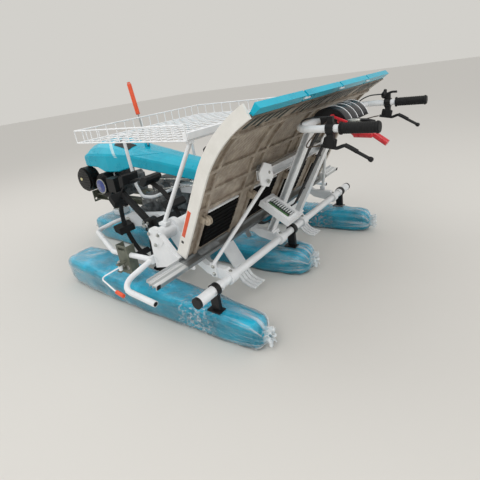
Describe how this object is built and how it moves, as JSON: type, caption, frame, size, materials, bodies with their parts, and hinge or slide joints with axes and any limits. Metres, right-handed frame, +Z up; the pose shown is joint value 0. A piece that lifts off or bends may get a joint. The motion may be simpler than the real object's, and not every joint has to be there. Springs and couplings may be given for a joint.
{
  "type": "rice transplanter",
  "caption": "Walk-behind rice transplanter with floats, lugged drive wheels, a traversing seedling platform, a wire rack, an engine bonnet and handlebars.",
  "frame": {"origin": "on the ground under the middle of the machine's box", "axes": "+Y is the direction of travel, +X the machine's right side, +Z up"},
  "size_m": [1.59, 2.14, 1.0301],
  "materials": {
    "white_paint": "gloss",
    "bare_alloy": "satin",
    "black_plastic": "satin",
    "dark_steel": "matt",
    "teal_plastic": "gloss",
    "olive_paint": "satin",
    "grey_casting": "satin",
    "black_rubber": "matt",
    "red_plastic": "gloss",
    "cable_sheath": "satin",
    "beige_plastic": "satin",
    "orange_plastic": "gloss"
  },
  "bodies": {
    "machine": {"main_frame": "white_paint", "transmission_case": "bare_alloy", "engine_block": "bare_alloy", "recoil_starter": "black_plastic", "silencer": "dark_steel", "air_cleaner": "black_plastic", "bonnet": "teal_plastic", "front_bearer": "olive_paint", "planting_tube": "white_paint", "end_brackets": "white_paint", "planting_arms": "grey_casting", "lower_rail": "bare_alloy", "upper_rail": "white_paint", "rear_tube": "white_paint", "tube_caps": "black_plastic", "cast_arms": "white_paint", "float_pivots": "black_plastic", "float_left": "teal_plastic", "float_right": "teal_plastic", "float_centre": "teal_plastic", "rakes": "white_paint", "handle_frame": "white_paint", "grips": "black_rubber", "brake_levers": "black_plastic", "console": "black_plastic", "red_levers": "red_plastic", "lever_guide": "white_paint", "rack_legs": "white_paint", "rack_tray": "white_paint", "rack_fence": "white_paint", "guard_tubes": "white_paint", "marker_brackets": "olive_paint", "control_cables": "cable_sheath"},
    "swing_left": {"swing_case_left": "white_paint"},
    "swing_right": {"swing_case_right": "white_paint"},
    "wheel_left_body": {"wheel_left": "black_rubber"},
    "wheel_right_body": {"wheel_right": "black_rubber"},
    "platform": {"platform_panel": "beige_plastic", "side_rails": "white_paint", "feed_belts": "black_rubber", "extension_plates": "teal_plastic", "rail_shoes": "grey_casting"},
    "marker_left": {"side_marker_left": "white_paint"},
    "marker_right": {"side_marker_right": "white_paint"},
    "pole": {"centre_pole": "orange_plastic"}
  },
  "joints": [
    {"name": "swing_left", "type": "hinge", "parent": "machine", "child": "swing_left", "pos_m": [-0.257, 0.42, 0.258], "axis": [1, 0, 0], "range_deg": [-4, 45]},
    {"name": "wheel_left", "type": "hinge", "parent": "swing_left", "child": "wheel_left_body", "pos_m": [-0.335, 0.136, 0.3], "axis": [1, 0, 0], "continuous": true},
    {"name": "swing_right", "type": "hinge", "parent": "machine", "child": "swing_right", "pos_m": [0.257, 0.42, 0.258], "axis": [1, 0, 0], "range_deg": [-4, 45]},
    {"name": "wheel_right", "type": "hinge", "parent": "swing_right", "child": "wheel_right_body", "pos_m": [0.335, 0.136, 0.3], "axis": [1, 0, 0], "continuous": true},
    {"name": "platform_traverse", "type": "slide", "parent": "machine", "child": "platform", "axis": [1, 0, 0], "range_m": [-0.14, 0.14]},
    {"name": "side_marker_left", "type": "hinge", "parent": "machine", "child": "marker_left", "pos_m": [-0.652, 0.004, 0.225], "axis": [0, 0, 1], "range_deg": [-52, 0]},
    {"name": "side_marker_right", "type": "hinge", "parent": "machine", "child": "marker_right", "pos_m": [0.652, 0.004, 0.225], "axis": [0, 0, -1], "range_deg": [-52, 0]},
    {"name": "centre_pole", "type": "hinge", "parent": "machine", "child": "pole", "pos_m": [0, 0.444, 0.656], "axis": [-1, 0, 0], "range_deg": [0, 65]}
  ]
}
